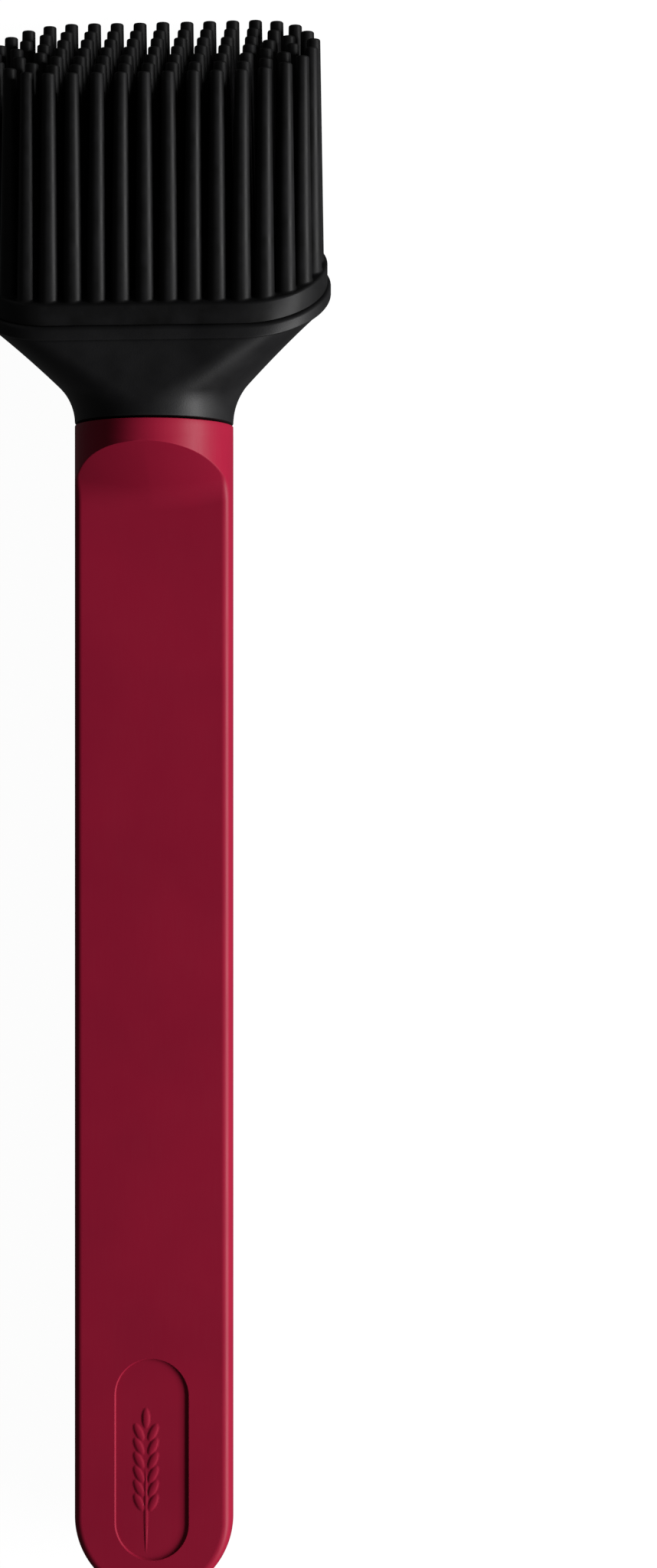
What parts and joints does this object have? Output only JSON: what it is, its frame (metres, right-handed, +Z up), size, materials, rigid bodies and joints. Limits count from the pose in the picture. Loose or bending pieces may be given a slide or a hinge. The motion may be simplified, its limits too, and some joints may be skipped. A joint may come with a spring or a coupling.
{
  "type": "pastry brush",
  "caption": "Kitchen pastry brush: round handle cut to a flat front, flared oval collar and a slanted silicone bristle head that pulls out for washing.",
  "frame": {"origin": "under the middle of the brush, on the surface it lies on with its flat front up", "axes": "+Y along the handle towards the bristles, +Z up out of the handle's flat front, +X across the brush"},
  "size_m": [0.047, 0.2106, 0.0218],
  "materials": {
    "handle_plastic": "dark red moulded plastic with a polished surface",
    "collar_nylon": "black nylon with a fine satin grain",
    "core_nylon": "undyed nylon",
    "head_silicone": "matt black silicone",
    "seal_rubber": "plain black rubber"
  },
  "bodies": {
    "handle": {"handle_shell": "handle_plastic", "handle_core": "core_nylon", "neck_seal": "seal_rubber", "collar": "collar_nylon"},
    "head": {"silicone_head": "head_silicone", "head_carrier": "core_nylon"}
  },
  "joints": [
    {"name": "head_pull", "type": "slide", "parent": "handle", "child": "head", "axis": [0, 1, 0], "range_m": [0, 0.028]}
  ]
}
